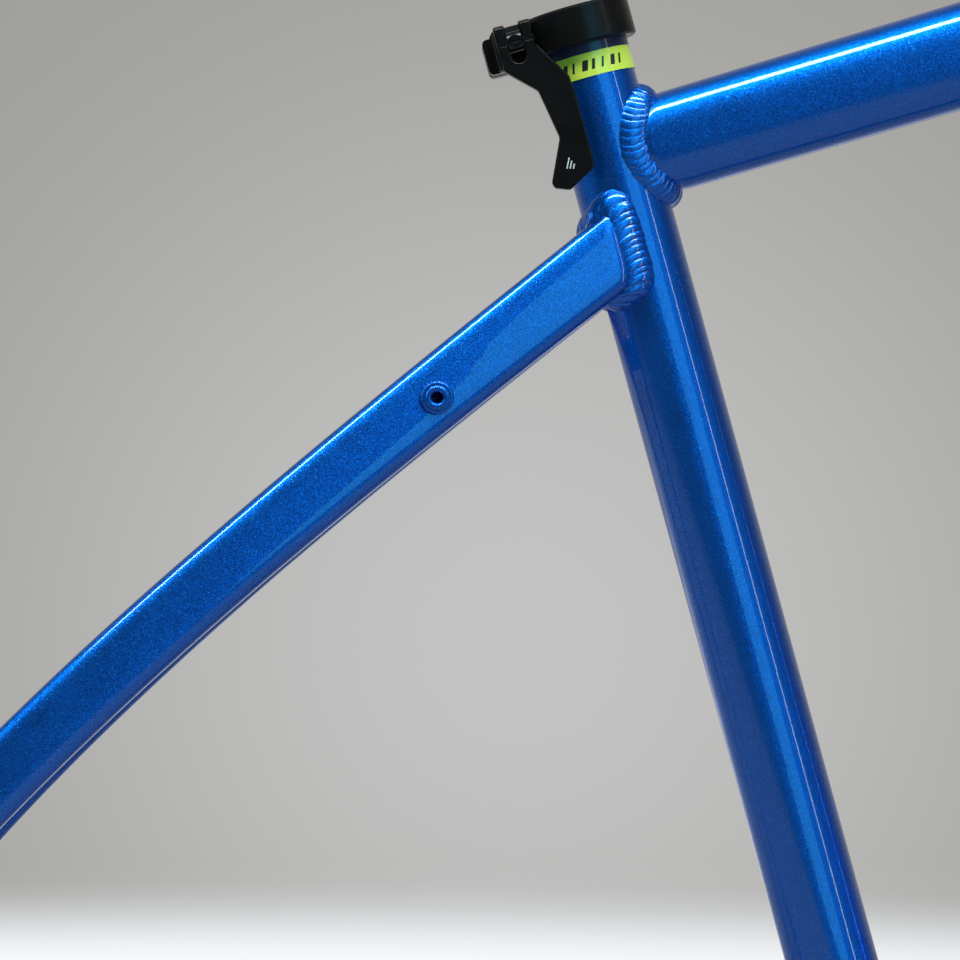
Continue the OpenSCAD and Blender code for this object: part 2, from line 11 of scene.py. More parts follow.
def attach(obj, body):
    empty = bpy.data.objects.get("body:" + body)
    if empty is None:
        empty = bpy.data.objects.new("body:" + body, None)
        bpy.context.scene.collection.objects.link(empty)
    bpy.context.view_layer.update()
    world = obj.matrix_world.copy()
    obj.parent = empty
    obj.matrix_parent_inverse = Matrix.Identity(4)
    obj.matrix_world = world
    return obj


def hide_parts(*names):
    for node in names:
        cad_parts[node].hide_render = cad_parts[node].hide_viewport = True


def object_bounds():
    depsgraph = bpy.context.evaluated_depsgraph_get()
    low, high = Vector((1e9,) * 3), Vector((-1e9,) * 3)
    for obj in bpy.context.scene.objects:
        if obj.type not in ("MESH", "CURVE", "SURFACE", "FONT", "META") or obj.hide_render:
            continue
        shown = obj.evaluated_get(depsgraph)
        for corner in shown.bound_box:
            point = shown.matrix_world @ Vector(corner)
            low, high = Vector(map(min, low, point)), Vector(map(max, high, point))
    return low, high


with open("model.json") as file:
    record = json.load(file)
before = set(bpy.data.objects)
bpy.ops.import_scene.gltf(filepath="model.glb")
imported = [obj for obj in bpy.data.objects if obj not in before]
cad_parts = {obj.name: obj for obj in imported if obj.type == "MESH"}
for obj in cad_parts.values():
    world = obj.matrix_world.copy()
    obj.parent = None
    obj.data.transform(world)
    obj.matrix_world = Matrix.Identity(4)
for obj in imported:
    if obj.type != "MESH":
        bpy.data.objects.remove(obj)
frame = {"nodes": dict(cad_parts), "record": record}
cad_low, cad_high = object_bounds()
rng = np.random.default_rng(27)
MOUNTS = {m["name"]: m for m in frame["record"]["mounts"]}
MM = 0.001

# ---- axes and sizes of the tubes, as in the CAD source ----
Y = np.array([0.0, 1.0, 0.0])
ORIGIN = np.zeros(3)
SEAT_UP = np.array(MOUNTS["seatpost_bore"]["axis"], float)
HEAD_UP = np.array(MOUNTS["headset_upper_seat"]["axis"], float)
SEAT_TOP = 0.500
SEAT_R, POST_R = 0.01745, 0.01545
HEAD_R, HEAD_LENGTH = 0.025, 0.130
HEAD_TOP = np.array(MOUNTS["headset_upper_seat"]["pos_m"]) + 0.007 * HEAD_UP
HEAD_BOTTOM = HEAD_TOP - HEAD_LENGTH * HEAD_UP
SHELL_R = 0.02075
WALL = 0.0017


def unit(v):
    return v / np.linalg.norm(v, axis=-1, keepdims=True)


def flat(v, axis):
    return v - np.sum(v * axis, axis=-1, keepdims=True) * axis


TOP_TUBE_AT, TOP_TUBE_SLOPE = 0.4427, math.radians(16.4)
TOP_TUBE = {
    "foot": TOP_TUBE_AT * SEAT_UP, "dir": np.array([math.cos(TOP_TUBE_SLOPE), 0, math.sin(TOP_TUBE_SLOPE)]),
    "length": 0.572, "rear": (0.031, 0.0387), "front": (0.038, 0.046), "square": 2.3,
}
DOWN_END = HEAD_BOTTOM + 0.052 * HEAD_UP
DOWN_TUBE = {
    "foot": ORIGIN, "dir": unit(DOWN_END), "length": float(np.linalg.norm(DOWN_END)),
    "rear": (0.052, 0.038), "front": (0.044, 0.050), "square": 2.2,
}
SEATSTAY = {
    "curve": np.array([[-108, -14.5, 397], [-211, -41, 314], [-343, -68, 212.5], [-415, -70, 112]]) * MM,
    "rear": (0.014, 0.0285), "front": (0.0165, 0.0264), "full_at": 0.45, "square": 3.4,
}
CHAINSTAY = {
    "curve": np.array([[-12, -22, 1], [-110, -51, 6], [-250, -66, 14], [-404, -70, 26]]) * MM,
    "rear": (0.019, 0.034), "front": (0.016, 0.022), "full_at": 1.0, "square": 2.8,
}


# ---- mesh helpers ----
def piece(name, verts, faces, body, material):
    """A new mesh object that rides on a CAD body."""
    mesh = bpy.data.meshes.new(name)
    mesh.from_pydata([tuple(map(float, v)) for v in verts], [], [tuple(map(int, f)) for f in faces])
    mesh.validate()
    bm = bmesh.new()
    bm.from_mesh(mesh)
    bmesh.ops.recalc_face_normals(bm, faces=bm.faces)
    bm.to_mesh(mesh)
    bm.free()
    mesh.polygons.foreach_set("use_smooth", [True] * len(mesh.polygons))
    obj = bpy.data.objects.new(name, mesh)
    bpy.context.scene.collection.objects.link(obj)
    mesh.materials.append(material)
    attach(obj, body)
    return obj


def ring_faces(n, rings, closed=False, offset=0):
    """Quads between consecutive rings of n points."""
    last = rings if closed else rings - 1
    faces = []
    for i in range(last):
        a, b = offset + i * n, offset + ((i + 1) % rings) * n
        faces += [(a + j, a + (j + 1) % n, b + (j + 1) % n, b + j) for j in range(n)]
    return faces


def section(size, square, n):
    """Rounded outline [across, up]; 2 is an ellipse and larger is squarer."""
    a = 2 * math.pi * np.arange(n) / n
    c, s = np.cos(a), np.sin(a)
    return np.stack([size[0] / 2 * np.sign(c) * np.abs(c) ** (2 / square),
                     size[1] / 2 * np.sign(s) * np.abs(s) ** (2 / square)], 1)


def place(p, d, outline):
    """Puts an outline square to direction d at p."""
    across = unit(flat(Y, d))
    up = np.cross(d, across)
    return p + outline[:, :1] * across + outline[:, 1:] * up


SEAT_PARENT = (ORIGIN, SEAT_UP, SEAT_R)
HEAD_PARENT = (HEAD_TOP, HEAD_UP, HEAD_R)
SHELL_PARENT = (ORIGIN, Y, SHELL_R)


def mirrored(points):
    return points * np.array([1, -1, 1])


# ---- node materials ----
class Shader:
    """A node material built up in object coordinates, which are the frame's own metres."""

    def __init__(self, name, **constants):
        self.material = bpy.data.materials.new(name)
        self.material.use_nodes = True
        self.tree = self.material.node_tree
        self.out = self.tree.nodes["Principled BSDF"]
        for key, value in constants.items():
            self.out.inputs[key.replace("_", " ")].default_value = value
        self.where = self.add("ShaderNodeTexCoord").outputs["Object"]

    def add(self, kind, links=None, values=None, **props):
        node = self.tree.nodes.new(kind)
        for key, value in props.items():
            setattr(node, key, value)
        for key, value in (values or {}).items():
            node.inputs[key].default_value = value
        for key, source in (links or {}).items():
            self.tree.links.new(source, node.inputs[key])
        return node

    def noise(self, size, detail=3.0, rough=0.55):
        """Noise between 0 and 1 with features of about this size."""
        return self.add("ShaderNodeTexNoise", {"Vector": self.where},
                        {"Scale": 1 / size, "Detail": detail, "Roughness": rough}).outputs["Fac"]

    def ramp(self, value, low, high, to_low, to_high):
        """Maps one range of numbers to another."""
        span = {"From Min": low, "From Max": high, "To Min": to_low, "To Max": to_high}
        return self.add("ShaderNodeMapRange", {"Value": value}, span).outputs["Result"]

    def smooth(self, value, low, high, to_low=0, to_high=1):
        """The same with soft ends."""
        span = {"From Min": low, "From Max": high, "To Min": to_low, "To Max": to_high}
        return self.add("ShaderNodeMapRange", {"Value": value}, span,
                        interpolation_type="SMOOTHSTEP").outputs["Result"]

    def mix(self, factor, a, b):
        """Colour between a and b, each a colour or a socket."""
        node = self.add("ShaderNodeMix", data_type="RGBA")
        self.tree.links.new(factor, node.inputs["Factor"])
        for key, c in (("A", a), ("B", b)):
            if isinstance(c, tuple):
                node.inputs[key].default_value = (*c, 1)
            else:
                self.tree.links.new(c, node.inputs[key])
        return node.outputs["Result"]

    def math(self, operation, *values):
        node = self.add("ShaderNodeMath", operation=operation)
        for i, v in enumerate(values):
            if isinstance(v, (int, float)):
                node.inputs[i].default_value = v
            else:
                self.tree.links.new(v, node.inputs[i])
        return node.outputs[0]

    def bump(self, height, distance):
        return self.add("ShaderNodeBump", {"Height": height}, {"Distance": distance}).outputs["Normal"]

    def set(self, key, socket):
        self.tree.links.new(socket, self.out.inputs[key])


PAINT_DEEP = (0.0, 0.10, 0.52)
PAINT_BRIGHT = (0.0, 0.155, 0.70)
PAINT_SPARKLE = (0.02, 0.30, 0.90)


def metallic_paint():
    """Blue metallic base coat with fine flakes under a glossy clear coat."""
    flake_size, flake_tilt = 0.00027, 0.24
    s = Shader("frame_blue_paint", Metallic=0.94, Specular_IOR_Level=0.0,
               Coat_Weight=1.0, Coat_Roughness=0.03, Coat_IOR=1.52)
    cells = s.add("ShaderNodeTexVoronoi", {"Vector": s.where}, {"Scale": 1 / flake_size}, feature="F1")
    channels = s.add("ShaderNodeSeparateColor", {"Color": cells.outputs["Color"]})
    centred = s.add("ShaderNodeVectorMath", {0: cells.outputs["Color"]}, {1: (0.5, 0.5, 0.5)},
                    operation="SUBTRACT")
    tilt = s.add("ShaderNodeVectorMath", {0: centred.outputs[0]}, {"Scale": flake_tilt}, operation="SCALE")
    geometry = s.add("ShaderNodeNewGeometry")
    tilted = s.add("ShaderNodeVectorMath", {0: geometry.outputs["Normal"], 1: tilt.outputs[0]},
                   operation="ADD")
    normal = s.add("ShaderNodeVectorMath", {0: tilted.outputs[0]}, operation="NORMALIZE")
    s.set("Normal", normal.outputs[0])
    flake = s.ramp(channels.outputs["Red"], 0.0, 1.0, 0.0, 1.0)
    base = s.mix(flake, PAINT_DEEP, PAINT_BRIGHT)
    rare = s.math("GREATER_THAN", channels.outputs["Green"], 0.965)
    sparkle = s.mix(rare, base, PAINT_SPARKLE)
    cloud = s.ramp(s.noise(0.05, 2), 0.3, 0.7, 0.0, 0.12)
    s.set("Base Color", s.mix(cloud, sparkle, PAINT_DEEP))
    s.set("Roughness", s.ramp(s.noise(0.012), 0.3, 0.7, 0.36, 0.42))
    s.set("Coat Normal", s.bump(s.noise(0.0026, 1, 0.4), 0.0000045))
    return s.material


def satin_black(name):
    """Black anodised alloy: fine blasted grain, a little handling shine."""
    s = Shader(name, Specular_IOR_Level=0.17)
    grain = s.noise(0.00022, 2)
    shine = s.noise(0.009, 4)
    s.set("Base Color", s.mix(shine, (0.004, 0.004, 0.004), (0.010, 0.009, 0.009)))
    s.set("Roughness", s.ramp(s.math("ADD", grain, shine), 0.6, 1.4, 0.20, 0.32))
    s.set("Normal", s.bump(grain, 0.00002))
    return s.material


def matte_polymer():
    """Black moulded plastic of the plate under the cam."""
    s = Shader("cam_plate_polymer", Specular_IOR_Level=0.3)
    grain = s.noise(0.0004, 3)
    s.set("Base Color", s.mix(grain, (0.006, 0.006, 0.006), (0.014, 0.013, 0.013)))
    s.set("Roughness", s.ramp(grain, 0.3, 0.7, 0.45, 0.6))
    s.set("Normal", s.bump(grain, 0.00003))
    return s.material


def plated_steel(name, colour, rough):
    """Metal with turning marks and cloudy patches."""
    s = Shader(name, Metallic=1.0)
    cloud = s.noise(0.003, 4)
    lines = s.noise(0.00015, 2)
    dark = tuple(c * 0.72 for c in colour)
    s.set("Base Color", s.mix(cloud, dark, colour))
    s.set("Roughness", s.ramp(lines, 0.3, 0.7, rough - 0.06, rough + 0.1))
    s.set("Normal", s.bump(lines, 0.000012))
    return s.material


def printed_band():
    """Yellow-green printed vinyl under clear lacquer."""
    s = Shader("band_print", Coat_Weight=0.6, Coat_Roughness=0.08)
    speck = s.noise(0.0006, 3)
    s.set("Base Color", s.mix(speck, (0.68, 0.90, 0.070), (0.78, 0.97, 0.11)))
    s.set("Roughness", s.ramp(speck, 0.3, 0.7, 0.36, 0.46))
    s.set("Normal", s.bump(speck, 0.000006))
    return s.material


def print_ink(name, colour):
    """Slightly glossy printing ink."""
    s = Shader(name, Coat_Weight=0.4, Coat_Roughness=0.1)
    speck = s.noise(0.0004, 3)
    s.set("Base Color", s.mix(speck, tuple(c * 0.75 for c in colour), colour))
    s.set("Roughness", s.ramp(speck, 0.3, 0.7, 0.4, 0.5))
    return s.material


PAINT = metallic_paint()
BLACK = satin_black("clamp_satin_black")
POLYMER = matte_polymer()
STEEL = plated_steel("zinc_steel", (0.62, 0.63, 0.66), 0.30)
BLACK_STEEL = plated_steel("black_steel", (0.055, 0.055, 0.058), 0.26)
ALLOY = plated_steel("rivet_alloy", (0.74, 0.75, 0.78), 0.26)
BAND = printed_band()
INK_NAVY = print_ink("ink_navy", (0.006, 0.016, 0.075))
INK_BLACK = print_ink("ink_black", (0.012, 0.013, 0.014))
INK_WHITE = print_ink("ink_white", (0.80, 0.80, 0.80))
HANGER = satin_black("hanger_black")


# ---- formed tubes ----
def straight_lines(tube, n, steps, wall=0.0):
    """Points [steps, n, 3] along the tube's surface lines."""
    shrink = np.array([2 * wall, 2 * wall])
    a = place(tube["foot"], tube["dir"], section(np.array(tube["rear"]) - shrink, tube["square"], n))
    far = tube["foot"] + tube["length"] * tube["dir"]
    b = place(far, tube["dir"], section(np.array(tube["front"]) - shrink, tube["square"], n))
    t = np.linspace(0, 1, steps)[:, None, None]
    return a * (1 - t) + b * t


def curved_lines(stay, n, steps, wall=0.0):
    """The same for a stay that follows a curve."""
    c = stay["curve"]
    t = np.linspace(0, 1, steps)[:, None]
    path = (1 - t) ** 3 * c[0] + 3 * t * (1 - t) ** 2 * c[1] + 3 * t * t * (1 - t) * c[2] + t ** 3 * c[3]
    heading = unit(np.gradient(path, axis=0))
    rings = []
    for k in range(steps):
        share = min(1.0, t[k, 0] / stay["full_at"])
        size = np.array(stay["rear"]) * (1 - share) + np.array(stay["front"]) * share - 2 * wall
        rings.append(place(path[k], heading[k], section(size, stay["square"], n)))
    return np.array(rings)


def radius_from(points, parent):
    origin, axis, r = parent
    return np.linalg.norm(flat(points - origin, axis), axis=-1)


def sample(lines, t):
    """Points on each surface line at fractions t[rings, n] of its length."""
    x = t * (len(lines) - 1)
    i = np.clip(np.floor(x).astype(int), 0, len(lines) - 2)
    f = (x - i)[..., None]
    j = np.arange(lines.shape[1])[None, :]
    return lines[i, j] * (1 - f) + lines[i + 1, j] * f


def leaving(lines, parent, sink=0.0):
    """Fraction of each line's length at which it comes out of the parent tube."""
    outside = radius_from(lines, parent) - (parent[2] - sink)
    result = np.zeros(lines.shape[1])
    for j in range(lines.shape[1]):
        inside = np.nonzero(outside[:, j] < 0)[0]
        i = inside[-1] if len(inside) else 0
        if i >= len(lines) - 1:
            result[j] = 1.0
            continue
        a, b = outside[i, j], outside[i + 1, j]
        result[j] = (i + (a / (a - b) if a < 0 else 0.0)) / (len(lines) - 1)
    return result


SINK = 0.0005  # how far a tube's end goes into the tube that it meets
TUBE_STEPS = 700
NOSE_R, NOSE_BACK = 0.009, 0.002


def nosed(lines):
    """Rounds a stay's outer side in to the seat tube, along a line just behind the tube's axis."""
    forward = unit(np.cross(Y, SEAT_UP))
    near = np.clip(NOSE_R + lines @ forward + NOSE_BACK, 0, NOSE_R)
    out = lines.copy()
    out[..., 1] += NOSE_R - np.sqrt(NOSE_R ** 2 - near ** 2)
    return out


def tube_piece(name, make_lines, node, first, last=None, rings=60, n=112, wall=WALL, bunch=1.0):
    """Hollow tube cut to the round tubes that it meets; bunch crowds its rings at the first end."""
    verts = []
    for thickness in (0.0, wall):
        lines = make_lines(n, TUBE_STEPS, thickness)
        start = leaving(lines, first, SINK)
        end = 1 - leaving(lines[::-1], last, SINK) if last else np.ones(n)
        s = np.linspace(0, 1, rings)[:, None] ** bunch
        verts.append(sample(lines, start + (end - start) * s))
    outer, inner = (v.reshape(-1, 3) for v in verts)
    m = len(outer)
    faces = ring_faces(n, rings) + ring_faces(n, rings, offset=m)
    for base in (0, (rings - 1) * n):
        faces += [(base + j, base + (j + 1) % n, m + base + (j + 1) % n, m + base + j) for j in range(n)]
    obj = piece(name, np.concatenate([outer, inner]), faces, "frame", PAINT)
    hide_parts(node)
    return obj


# ---- weld beads ----
BEAD_STEP = 0.00028  # between rings along the loop
BEAD_ACROSS = 26  # points across the bead
BEAD_BITE = 0.0001  # how far its edges go into the metal


def weld_piece(name, lines, parent, node, leg=0.0055, pitch=0.0025, mirror=False, reverse=False,
               ripple=0.00052, look=0.004):
    """Bead of overlapping ripples along the line where a tube meets its parent."""
    origin, axis, r = parent
    if reverse:
        lines = lines[::-1]
    t = leaving(lines, parent)
    foot = sample(lines, t[None, :])[0]
    ahead = sample(lines, np.minimum(t + look, 1)[None, :])[0]
    heading = unit(ahead - foot)
    # even steps along the loop
    closed = np.vstack([foot, foot[:1]])
    length = np.concatenate([[0], np.cumsum(np.linalg.norm(np.diff(closed, axis=0), axis=1))])
    total = length[-1]
    count = int(total / BEAD_STEP)
    s = np.arange(count) * total / count

    def even(values):
        v = np.vstack([values, values[:1]])
        return np.stack([np.interp(s, length, v[:, k]) for k in range(3)], 1)

    foot, heading = even(foot), unit(even(heading))
    along = unit(np.roll(foot, -2, 0) - np.roll(foot, 2, 0))
    rise = unit(flat(foot - origin, axis))
    spread = unit(np.cross(along, rise))
    outward = unit(np.cross(along, heading))
    centre = foot.mean(0)
    side = np.sign(np.mean(np.sum((foot - centre) * spread, 1)))
    spread, outward = spread * side, outward * np.sign(np.mean(np.sum((foot - centre) * outward, 1)))
    lean = np.linalg.norm(flat(heading, along), axis=1)
    # ripples, each a little different
    ripples = max(8, round(total / pitch))
    edges = np.linspace(0, 1, ripples + 1)
    edges[1:-1] += rng.normal(0, 0.10 / ripples, ripples - 1)
    strength = rng.uniform(0.75, 1.2, ripples)
    reach = 1 + rng.normal(0, 0.035, ripples)
    across = np.linspace(0, 1, BEAD_ACROSS)
    verts = np.zeros((count, BEAD_ACROSS, 3))
    middle = unit(rise + outward)
    for k, v in enumerate(across):
        lag = 0.55 / ripples * (1 - (2 * v - 1) ** 2)
        u = (s / total - lag) % 1.0
        which = np.clip(np.searchsorted(edges, u, side="right") - 1, 0, ripples - 1)
        phase = (u - edges[which]) / (edges[which + 1] - edges[which])
        hump = np.sqrt(np.clip(1 - (1.15 * phase - 0.42) ** 2 / 0.55, 0.0, 1.0))
        dome = 4 * v * (1 - v)
        size = leg * reach[which] * (0.95 + 0.05 * hump)
        a = foot + size[:, None] * spread
        off = flat(a - origin, axis)
        a = a - off + unit(off) * (r - BEAD_BITE)
        b = foot + (size / np.maximum(lean, 0.62))[:, None] * heading - BEAD_BITE * outward
        height = leg * (0.16 * dome) + (ripple * strength[which] * hump - 0.0002) * dome ** 0.5
        verts[:, k] = a * (1 - v) + b * v + height[:, None] * middle
    if mirror:
        verts = mirrored(verts)
    faces = []
    for i in range(count):
        a, b = i * BEAD_ACROSS, ((i + 1) % count) * BEAD_ACROSS
        faces += [(a + k, a + k + 1, b + k + 1, b + k) for k in range(BEAD_ACROSS - 1)]
    obj = piece(name, verts.reshape(-1, 3), faces, "frame", PAINT)
    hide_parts(node)


def lathe(name, origin, axis, profile, node, n, sharp=35):
    """Painted solid of revolution: profile is a closed list of [radius, distance along the axis]."""
    axis = unit(np.array(axis, float))
    side = unit(np.cross(axis, Y if abs(axis[1]) < 0.9 else np.array([0, 0, 1.0])))
    other = np.cross(axis, side)
    a = 2 * math.pi * np.arange(n) / n
    spokes = [math.cos(x) * side + math.sin(x) * other for x in a]
    verts = [origin + h * axis + r * spoke for r, h in profile for spoke in spokes]
    obj = piece(name, verts, ring_faces(n, len(profile), closed=True), "frame", PAINT)
    sharpen(obj, sharp)
    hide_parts(node)


def sharpen(obj, degrees):
    """Edges steeper than this stay crisp."""
    bm = bmesh.new()
    bm.from_mesh(obj.data)
    for e in bm.edges:
        e.smooth = len(e.link_faces) == 2 and e.calc_face_angle(0) < math.radians(degrees)
    for f in bm.faces:
        f.smooth = True
    bm.to_mesh(obj.data)
    bm.free()


def rounded(points, radius, steps=4):
    """A closed outline with its corners rounded."""
    p = [np.array(q, float) for q in points]
    out = []
    for i, q in enumerate(p):
        a, b = p[i - 1] - q, p[(i + 1) % len(p)] - q
        cut = min(radius, 0.45 * np.linalg.norm(a), 0.45 * np.linalg.norm(b))
        s, e = q + unit(a) * cut, q + unit(b) * cut
        for k in range(steps + 1):
            t = k / steps
            out.append((1 - t) ** 2 * s + 2 * t * (1 - t) * q + t * t * e)
    return out


WELD_DISTANCE = 0.000002
FLAT_ANGLE, EDGE_ANGLE = math.radians(4), math.radians(28)


def refined(node, body, material, bevel, clamp):
    """A copy of a CAD node with its flat faces joined and its edges rounded."""
    obj = bpy.data.objects.new(node + "_looks", frame["nodes"][node].data.copy())
    bpy.context.scene.collection.objects.link(obj)
    bm = bmesh.new()
    bm.from_mesh(obj.data)
    bmesh.ops.remove_doubles(bm, verts=bm.verts, dist=WELD_DISTANCE)
    bmesh.ops.dissolve_limit(bm, angle_limit=FLAT_ANGLE, verts=bm.verts, edges=bm.edges)
    for f in bm.faces:
        f.smooth = True
    for e in bm.edges:
        e.smooth = len(e.link_faces) == 2 and e.calc_face_angle(0) < EDGE_ANGLE
    bm.to_mesh(obj.data)
    bm.free()
    obj.data.materials.clear()
    obj.data.materials.append(material)
    if bevel:
        m = obj.modifiers.new("Edge rounding", "BEVEL")
        m.width, m.segments = bevel, 3
        m.limit_method, m.angle_limit = "ANGLE", EDGE_ANGLE
        m.harden_normals = True
        m.use_clamp_overlap = clamp
    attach(obj, body)
    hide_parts(node)


def cut(obj, cutters):
    """Boolean difference, applied."""
    for c in cutters:
        m = obj.modifiers.new("Cut", "BOOLEAN")
        m.operation, m.solver, m.object = "DIFFERENCE", "EXACT", c
    bpy.context.view_layer.update()
    shape = bpy.data.meshes.new_from_object(obj.evaluated_get(bpy.context.evaluated_depsgraph_get()))
    obj.modifiers.clear()
    obj.data = shape
    for c in cutters:
        bpy.data.objects.remove(c)


def tool(bm_make):
    """A throwaway cutting solid."""
    bm = bmesh.new()
    bm_make(bm)
    mesh = bpy.data.meshes.new("tool")
    bm.to_mesh(mesh)
    bm.free()
    obj = bpy.data.objects.new("tool", mesh)
    bpy.context.scene.collection.objects.link(obj)
    return obj


def rod_tool(centre, axis, r, length, n=96):
    turn = Vector((0, 0, 1)).rotation_difference(Vector(axis)).to_matrix().to_4x4()
    matrix = Matrix.Translation(Vector(centre)) @ turn
    return tool(lambda bm: bmesh.ops.create_cone(
        bm, cap_ends=True, segments=n, radius1=r, radius2=r, depth=length, matrix=matrix))


def box_tool(centre, size, turn=None):
    matrix = Matrix.Translation(Vector(centre)) @ (turn or Matrix.Identity(4)) @ Matrix.Diagonal((*size, 1))
    return tool(lambda bm: bmesh.ops.create_cube(bm, size=1, matrix=matrix))


# ---- the frame's tubes ----
tube_piece("top_tube_skin", lambda n, k, w: straight_lines(TOP_TUBE, n, k, w), "top_tube", SEAT_PARENT,
           HEAD_PARENT)
tube_piece("down_tube_skin", lambda n, k, w: straight_lines(DOWN_TUBE, n, k, w), "down_tube", SHELL_PARENT,
           HEAD_PARENT)
for side, sign in (("right", 1), ("left", -1)):
    flip = np.array([1, sign, 1])
    stay = tube_piece(f"seatstay_{side}_skin",
                      lambda n, k, w: nosed(curved_lines(SEATSTAY, n, 2 * k, w)) * flip,
                      f"seatstay_{side}", SEAT_PARENT, rings=170, n=128, bunch=1.4)
    boss = MOUNTS[f"rack_boss_thread_{side}"]
    boss_at = Vector(boss["pos_m"]) + 0.005 * Vector(boss["axis"])
    cut(stay, [rod_tool(boss_at, boss["axis"], r=0.0052, length=0.012)])
    sharpen(stay, 40)
    tube_piece(f"chainstay_{side}_skin", lambda n, k, w: curved_lines(CHAINSTAY, n, k, w) * flip,
               f"chainstay_{side}", SHELL_PARENT, rings=110, n=112)

seat_section = (2 * SEAT_R, 2 * SEAT_R)
SEAT_TUBE = {"foot": ORIGIN, "dir": SEAT_UP, "length": SEAT_TOP, "rear": seat_section, "front": seat_section,
             "square": 2.0}
seat_tube = tube_piece("seat_tube_skin", lambda n, k, w: straight_lines(SEAT_TUBE, n, k, w), "seat_tube",
                       SHELL_PARENT, rings=24, n=192, wall=SEAT_R - POST_R)
SEAT_BACK = np.cross(SEAT_UP, Y) * (1 if np.cross(SEAT_UP, Y)[0] < 0 else -1)
seat_turn = Matrix(np.array([SEAT_BACK, Y, SEAT_UP]).T.tolist()).to_4x4()
slot_low = SEAT_TOP - 0.038
cut(seat_tube, [
    box_tool((slot_low + 0.03) * SEAT_UP + SEAT_R * SEAT_BACK, (0.012, 0.003, 0.06), seat_turn),
    rod_tool(slot_low * SEAT_UP + SEAT_R * SEAT_BACK, SEAT_BACK, 0.0025, 0.012),
])
sharpen(seat_tube, 40)

# ---- welds ----
LOOP, LOOP_STEPS = 720, 1500
top_lines = straight_lines(TOP_TUBE, LOOP, LOOP_STEPS)
down_lines = straight_lines(DOWN_TUBE, LOOP, LOOP_STEPS)
weld_piece("weld_top_tube_rear_bead", top_lines, SEAT_PARENT, "weld_top_tube_rear")
weld_piece("weld_top_tube_front_bead", top_lines, HEAD_PARENT, "weld_top_tube_front", reverse=True)
weld_piece("weld_down_tube_front_bead", down_lines, HEAD_PARENT, "weld_down_tube_front", reverse=True)
weld_piece("weld_down_tube_rear_bead", down_lines, SHELL_PARENT, "weld_down_tube_rear")
weld_piece("weld_seat_tube_foot_bead", straight_lines(SEAT_TUBE, LOOP, LOOP_STEPS), SHELL_PARENT,
           "weld_seat_tube_foot", leg=0.0045)
seatstay_lines = nosed(curved_lines(SEATSTAY, LOOP, 2 * LOOP_STEPS))
chainstay_lines = curved_lines(CHAINSTAY, LOOP, LOOP_STEPS)
for side, mirror in (("right", False), ("left", True)):
    weld_piece(f"weld_seatstay_{side}_bead", seatstay_lines, SEAT_PARENT, f"weld_seatstay_{side}",
               leg=0.0066, mirror=mirror, ripple=0.0008, look=0.015)
    weld_piece(f"weld_chainstay_{side}_bead", chainstay_lines, SHELL_PARENT, f"weld_chainstay_{side}",
               leg=0.004, mirror=mirror)

# ---- turned parts ----
ring, ring_high, seat_depth, cup_r = 0.0015, 0.0055, 0.014, 0.022
hole_r = cup_r - 0.0006
h = HEAD_LENGTH
head_profile = rounded([
    (cup_r, 0), (HEAD_R + ring, 0), (HEAD_R + ring, ring_high), (HEAD_R, ring_high + ring),
    (HEAD_R, h - ring_high - ring), (HEAD_R + ring, h - ring_high), (HEAD_R + ring, h), (cup_r, h),
    (cup_r, h - seat_depth), (hole_r, h - seat_depth), (hole_r, seat_depth), (cup_r, seat_depth),
], 0.0006)
lathe("head_tube_skin", HEAD_BOTTOM, HEAD_UP, head_profile, "head_tube", n=192)


THREAD_PITCH, THREAD_DEPTH = 0.00106, 0.0006


def thread_profile(r_minor, low, high):
    """Zigzag of a thread inside a hole, from one end to the other."""
    turns = int(abs(high - low) / THREAD_PITCH)
    step = (high - low) / turns
    r_major = r_minor + THREAD_DEPTH
    points = []
    for i in range(turns):
        z = low + (high - low) * i / turns
        points += [(r_minor, z), (r_minor, z + 0.2 * step)]
        points += [(r_major, z + 0.55 * step), (r_major, z + 0.65 * step)]
    return points + [(r_minor, high)]


half_shell, bore_r = 0.0365, 0.0169
thread_long = 0.022
shell_profile = [
    (SHELL_R - 0.0008, -half_shell), (SHELL_R - 0.0002, -half_shell + 0.0002), (SHELL_R, -half_shell + 0.001),
    (SHELL_R, half_shell - 0.001), (SHELL_R - 0.0002, half_shell - 0.0002), (SHELL_R - 0.0008, half_shell),
    (bore_r + 0.001, half_shell),
] + thread_profile(bore_r, half_shell - 0.001, half_shell - thread_long) \
    + thread_profile(bore_r, -half_shell + thread_long, -half_shell + 0.001) \
    + [(bore_r + 0.001, -half_shell)]
lathe("bb_shell_skin", ORIGIN, Y, shell_profile, "bb_shell", n=160)

